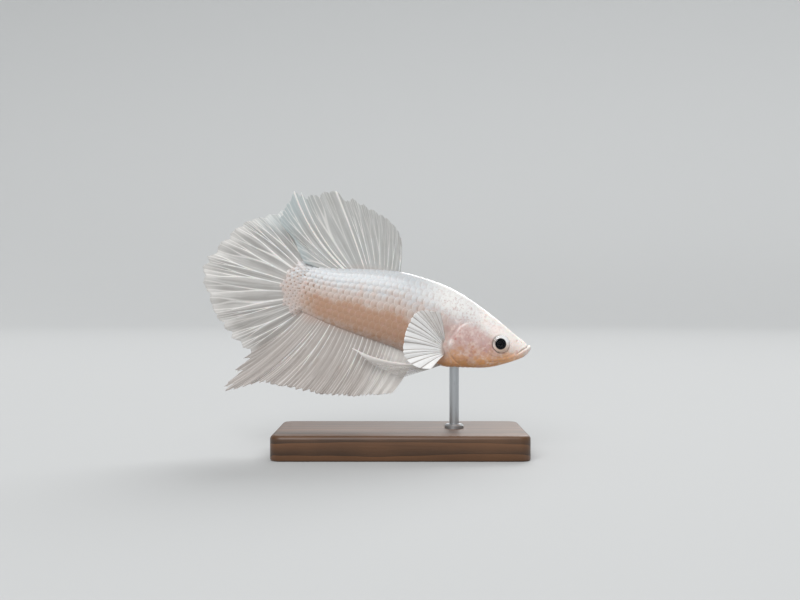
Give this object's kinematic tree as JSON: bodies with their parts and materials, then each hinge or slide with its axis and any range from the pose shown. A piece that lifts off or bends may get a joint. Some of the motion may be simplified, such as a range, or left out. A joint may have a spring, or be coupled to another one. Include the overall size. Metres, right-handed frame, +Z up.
{
  "type": "betta fish model",
  "caption": "Life-size model of a white short-finned betta fish, swimming slightly head-down with its fins spread, held by a rod above a flat base.",
  "frame": {"origin": "on the floor, under the middle of the whole model's bounding box", "axes": "+X towards the fish's head, +Y towards the fish's left side, +Z up"},
  "size_m": [0.0618, 0.025, 0.0484],
  "materials": {
    "skin": "moist pearly scales, white back and pinkish tan flanks",
    "throat_skin": "smooth moist skin, orange-tan",
    "fin_membrane": "thin translucent white membrane over white rays",
    "eye": "wet, silver-cream iris round a black pupil",
    "walnut": "satin oiled",
    "brushed_steel": "brushed along the rod"
  },
  "bodies": {
    "root": {"head": "skin", "lower_jaw": "throat_skin", "trunk": "skin", "tail_stem": "skin", "gill_cover_left": "skin", "gill_cover_right": "skin", "eye_left": "eye", "eye_right": "eye", "dorsal_fin": "fin_membrane", "anal_fin": "fin_membrane", "caudal_fin": "fin_membrane", "pectoral_fin_left": "fin_membrane", "pectoral_fin_right": "fin_membrane", "pelvic_fin_left": "fin_membrane", "pelvic_fin_right": "fin_membrane", "stand_base": "walnut", "stand_rod": "brushed_steel"}
  },
  "joints": []
}
